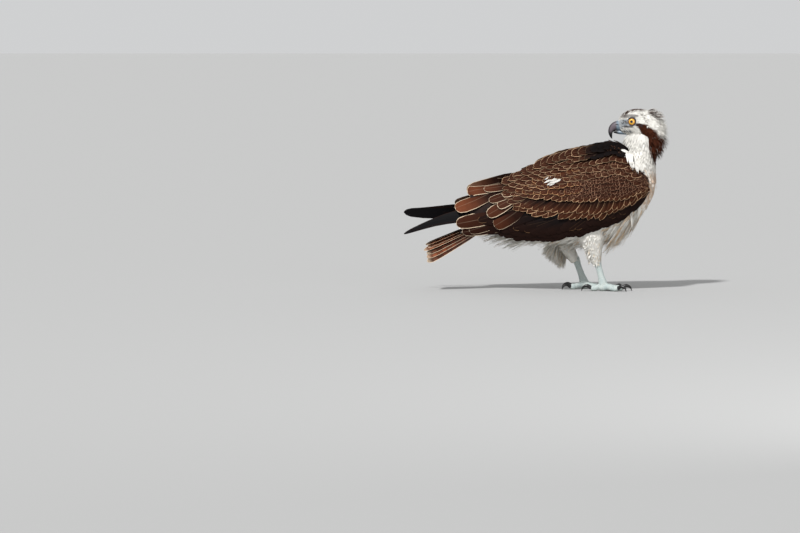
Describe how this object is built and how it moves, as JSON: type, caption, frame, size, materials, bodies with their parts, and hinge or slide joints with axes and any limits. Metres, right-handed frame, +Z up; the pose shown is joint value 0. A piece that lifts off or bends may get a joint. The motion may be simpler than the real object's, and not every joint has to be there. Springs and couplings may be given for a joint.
{
  "type": "osprey",
  "caption": "life-size museum model of a young osprey standing with folded wings and its head turned back over its shoulder",
  "frame": {"origin": "on the floor, in the middle of the small flat under the right ankle", "axes": "+Z up, +X the way the breast and the toes point, +Y the bird's left side"},
  "size_m": [0.5298, 0.1648, 0.3614],
  "materials": {
    "white_plumage": "soft matte white feathers",
    "dark_plumage": "dark brown feathers with pale edges",
    "brown_plumage": "brown barred tail feathers",
    "eye": "glossy yellow iris with a black pupil",
    "bill": "black horn with a blue grey base",
    "scaly_skin": "pale grey green scaly skin",
    "talon": "smooth black horn"
  },
  "bodies": {
    "root": {"torso": "white_plumage", "neck": "white_plumage", "head": "white_plumage", "eye_right": "eye", "eye_left": "eye", "bill_upper": "bill", "bill_lower": "bill", "tail": "brown_plumage", "wing_right": "dark_plumage", "wing_left": "dark_plumage", "thigh_right": "white_plumage", "thigh_left": "white_plumage", "tarsus_right": "scaly_skin", "tarsus_left": "scaly_skin", "foot_right": "scaly_skin", "foot_left": "scaly_skin", "talon_right_1": "talon", "talon_right_2": "talon", "talon_right_3": "talon", "talon_right_4": "talon", "talon_left_1": "talon", "talon_left_2": "talon", "talon_left_3": "talon", "talon_left_4": "talon"}
  },
  "joints": []
}
